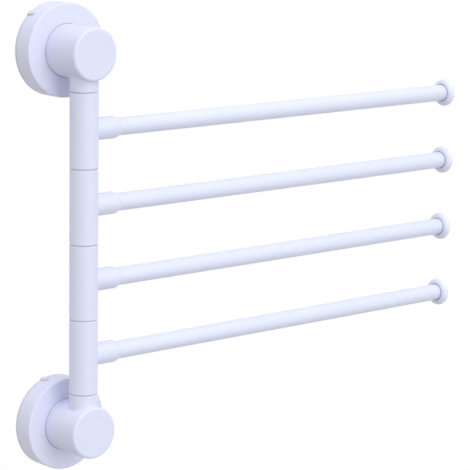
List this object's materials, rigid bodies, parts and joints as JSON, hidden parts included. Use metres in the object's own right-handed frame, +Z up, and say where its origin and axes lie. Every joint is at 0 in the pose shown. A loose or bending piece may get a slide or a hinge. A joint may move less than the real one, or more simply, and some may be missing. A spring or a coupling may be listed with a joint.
{
  "type": "swing arm towel bar",
  "caption": "Towel holder whose round arms swing separately on a vertical post, held to a smooth wall by a suction base at each end of the post.",
  "frame": {"origin": "centre of the lower suction cup on the wall", "axes": "+Z up along the post, -Y from the wall into the room, +X along the arms at rest"},
  "size_m": [0.3906, 0.0484, 0.3318],
  "materials": {
    "moulded_white": "satin moulded ABS, white with a cool tint",
    "bar_enamel": "white enamel on thin-walled steel tube",
    "rod_steel": "bright stainless",
    "bush_acetal": "natural grey acetal",
    "core_nylon": "glass-filled nylon",
    "cup_rubber": "soft translucent rubber",
    "plated_screw": "bright zinc plate"
  },
  "bodies": {
    "mount": {"lower_hub": "moulded_white", "lower_base_core": "core_nylon", "lower_hub_screw": "plated_screw", "lower_rod_plug": "rod_steel", "lower_cup_stud": "core_nylon", "lower_suction_cup": "cup_rubber", "upper_hub": "moulded_white", "upper_base_core": "core_nylon", "upper_hub_screw": "plated_screw", "upper_rod_plug": "rod_steel", "upper_cup_stud": "core_nylon", "upper_suction_cup": "cup_rubber", "centre_rod": "rod_steel", "top_washer": "bush_acetal"},
    "lower_press": {"lower_pressure_plate": "core_nylon"},
    "lower_lock": {"lower_lock_ring": "moulded_white"},
    "upper_press": {"upper_pressure_plate": "core_nylon"},
    "upper_lock": {"upper_lock_ring": "moulded_white"},
    "arm_1": {"arm_1_sleeve": "moulded_white", "arm_1_lower_bush": "bush_acetal", "arm_1_upper_bush": "bush_acetal", "arm_1_bar": "bar_enamel", "arm_1_end_cap": "moulded_white"},
    "arm_2": {"arm_2_sleeve": "moulded_white", "arm_2_lower_bush": "bush_acetal", "arm_2_upper_bush": "bush_acetal", "arm_2_bar": "bar_enamel", "arm_2_end_cap": "moulded_white"},
    "arm_3": {"arm_3_sleeve": "moulded_white", "arm_3_lower_bush": "bush_acetal", "arm_3_upper_bush": "bush_acetal", "arm_3_bar": "bar_enamel", "arm_3_end_cap": "moulded_white"},
    "arm_4": {"arm_4_sleeve": "moulded_white", "arm_4_lower_bush": "bush_acetal", "arm_4_upper_bush": "bush_acetal", "arm_4_bar": "bar_enamel", "arm_4_end_cap": "moulded_white"}
  },
  "joints": [
    {"name": "lower_press_slide", "type": "slide", "parent": "mount", "child": "lower_press", "axis": [0, -1, 0], "range_m": [0, 0.00301]},
    {"name": "lower_lock_turn", "type": "hinge", "parent": "lower_press", "child": "lower_lock", "pos_m": [0, -0.0159, 0], "axis": [0, -1, 0], "range_deg": [0, 270]},
    {"name": "upper_press_slide", "type": "slide", "parent": "mount", "child": "upper_press", "axis": [0, -1, 0], "range_m": [0, 0.00301]},
    {"name": "upper_lock_turn", "type": "hinge", "parent": "upper_press", "child": "upper_lock", "pos_m": [0, -0.0159, 0.266], "axis": [0, -1, 0], "range_deg": [0, 270]},
    {"name": "arm_1_swing", "type": "hinge", "parent": "mount", "child": "arm_1", "pos_m": [0, -0.0352, 0.2128], "axis": [0, 0, -1], "range_deg": [-3, 183]},
    {"name": "arm_2_swing", "type": "hinge", "parent": "mount", "child": "arm_2", "pos_m": [0, -0.0352, 0.1596], "axis": [0, 0, -1], "range_deg": [-3, 183]},
    {"name": "arm_3_swing", "type": "hinge", "parent": "mount", "child": "arm_3", "pos_m": [0, -0.0352, 0.1064], "axis": [0, 0, -1], "range_deg": [-3, 183]},
    {"name": "arm_4_swing", "type": "hinge", "parent": "mount", "child": "arm_4", "pos_m": [0, -0.0352, 0.0532], "axis": [0, 0, -1], "range_deg": [-3, 183]}
  ],
  "couplings": [
    {"joint": "lower_press_slide", "follows": "lower_lock_turn", "m_per_rad": 0.00063662},
    {"joint": "upper_press_slide", "follows": "upper_lock_turn", "m_per_rad": 0.00063662}
  ]
}
